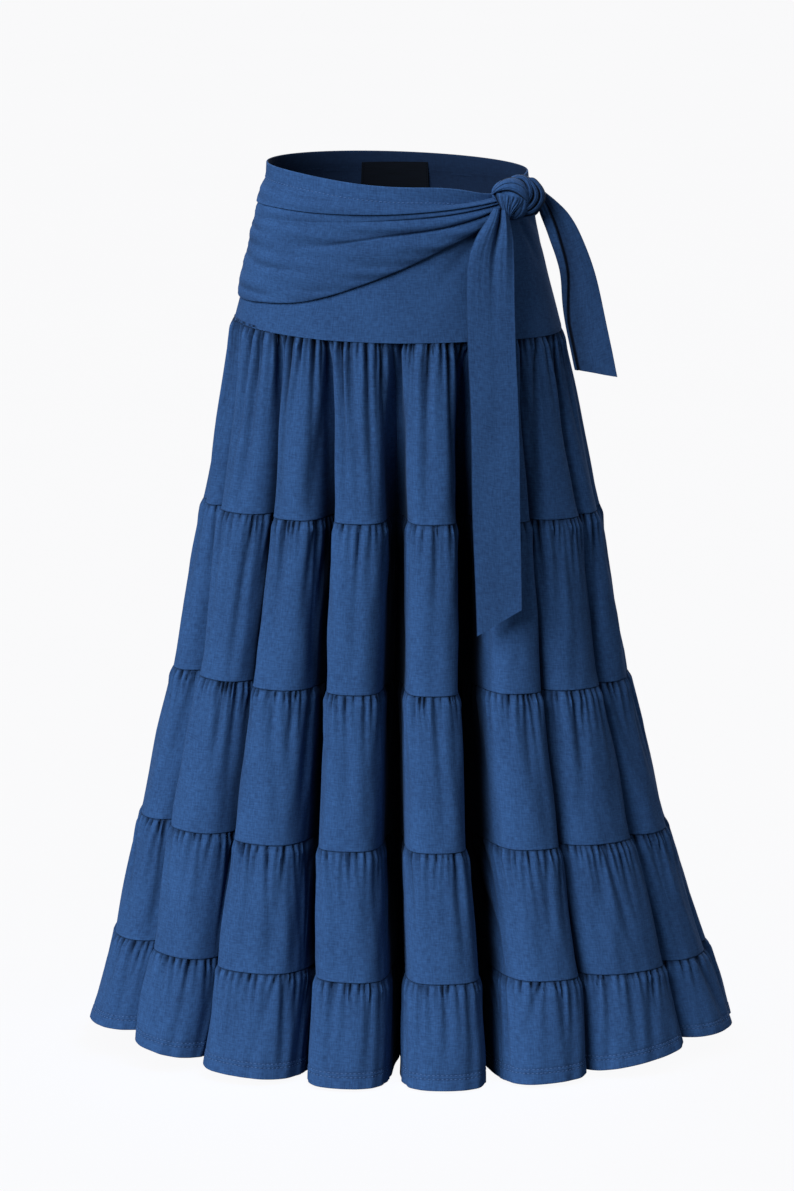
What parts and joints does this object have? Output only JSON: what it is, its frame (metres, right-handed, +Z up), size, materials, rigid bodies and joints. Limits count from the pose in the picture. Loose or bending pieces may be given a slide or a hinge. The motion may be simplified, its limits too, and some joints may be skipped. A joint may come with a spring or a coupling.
{
  "type": "maxi skirt",
  "caption": "Long full skirt with a fitted hip yoke, gathered tiers and a pleated sash knotted at one hip, filled out as it is worn.",
  "frame": {"origin": "centre of the waist opening, level with its top edge at the back, where the wearer holds the skirt up", "axes": "+Z up, -Y out of the front, +X to the wearer's left, where the sash is knotted"},
  "size_m": [0.6961, 0.4551, 0.9325],
  "materials": {
    "skirt_cloth": "matt plain weave of linen and cotton",
    "sash_cloth": "matt plain weave of linen and cotton",
    "label": "fine matt satin ribbon"
  },
  "bodies": {
    "root": {"waistband_front": "skirt_cloth", "waistband_back": "skirt_cloth", "yoke_front": "skirt_cloth", "yoke_back": "skirt_cloth", "tier_1_front": "skirt_cloth", "tier_1_back": "skirt_cloth", "tier_2_front": "skirt_cloth", "tier_2_back": "skirt_cloth", "tier_3_front": "skirt_cloth", "tier_3_back": "skirt_cloth", "tier_4_front": "skirt_cloth", "tier_4_back": "skirt_cloth", "tier_5_front": "skirt_cloth", "tier_5_back": "skirt_cloth", "sash_front": "sash_cloth", "sash_back": "sash_cloth", "knot_front_turn": "sash_cloth", "knot_side_turn": "sash_cloth", "tie_front": "sash_cloth", "tie_side": "sash_cloth", "label": "label"}
  },
  "joints": []
}
